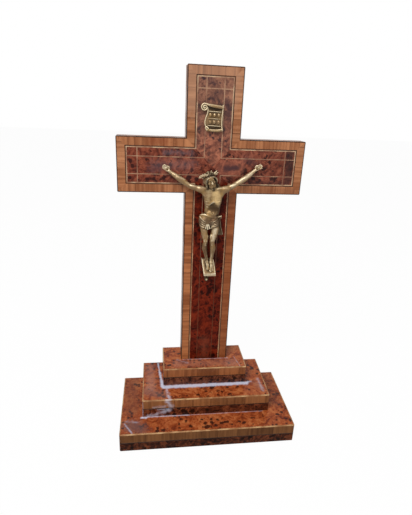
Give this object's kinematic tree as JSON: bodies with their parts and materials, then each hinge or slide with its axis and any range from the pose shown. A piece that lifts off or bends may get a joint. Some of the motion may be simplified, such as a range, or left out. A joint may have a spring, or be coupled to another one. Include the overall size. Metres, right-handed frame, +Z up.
{
  "type": "altar cross",
  "caption": "Table cross in crossbanded burl veneer on a stepped foot, with a cast brass figure and a small brass scroll on its face.",
  "frame": {"origin": "on the resting surface, under the middle of the lowest step", "axes": "+X to the right of someone who faces the cross, +Y from the front towards the flat back, +Z up"},
  "size_m": [0.194, 0.097, 0.39],
  "materials": {
    "panel_burl": "dark red-brown burl veneer under a worn gloss polish",
    "step_burl": "orange-brown burl veneer with dark eyes under a worn gloss polish",
    "crossband": "tan veneer laid with its grain across the band, polished",
    "light_string": "pale boxwood-like stringing, polished",
    "dark_string": "near-black stained stringing, polished",
    "plain_veneer": "plain brown straight-grained veneer, polished",
    "core_wood": "plain sawn softwood, bare",
    "cast_brass": "aged cast brass, dark in the hollows and rubbed bright on the high places",
    "brass_pins": "aged brass, rubbed bright",
    "screw_steel": "plain turned steel"
  },
  "bodies": {
    "root": {"lower_step_core": "core_wood", "lower_step_top_veneer": "step_burl", "lower_step_light_string": "light_string", "lower_step_dark_line": "dark_string", "lower_step_front_crossband": "crossband", "lower_step_side_crossbands": "crossband", "lower_step_front_band": "step_burl", "lower_step_side_bands": "step_burl", "middle_step_core": "core_wood", "middle_step_top_veneer": "step_burl", "middle_step_light_string": "light_string", "middle_step_dark_line": "dark_string", "middle_step_front_crossband": "crossband", "middle_step_side_crossbands": "crossband", "middle_step_front_band": "step_burl", "middle_step_side_bands": "step_burl", "upper_step_core": "core_wood", "upper_step_top_veneer": "step_burl", "upper_step_light_string": "light_string", "upper_step_dark_line": "dark_string", "upper_step_front_crossband": "crossband", "upper_step_side_crossbands": "crossband", "upper_step_front_band": "step_burl", "upper_step_side_bands": "step_burl", "upright_core": "core_wood", "crossbar_core": "core_wood", "upper_panel": "panel_burl", "left_panel": "panel_burl", "right_panel": "panel_burl", "lower_panel": "panel_burl", "upper_inner_strings": "light_string", "left_inner_strings": "light_string", "right_inner_strings": "light_string", "lower_inner_strings": "light_string", "light_string": "light_string", "dark_string": "dark_string", "edge_line": "dark_string", "upright_border": "crossband", "crossbar_border": "crossband", "top_border": "crossband", "crossbar_end_borders": "crossband", "upright_edge_veneers": "plain_veneer", "crossbar_edge_veneers": "plain_veneer", "end_edge_veneers": "plain_veneer", "upright_back_veneer": "plain_veneer", "crossbar_back_veneers": "plain_veneer", "figure": "cast_brass", "hand_nails": "brass_pins", "foot_rest_pin": "brass_pins", "scroll": "cast_brass", "upright_screw": "screw_steel", "step_screws": "screw_steel"}
  },
  "joints": []
}
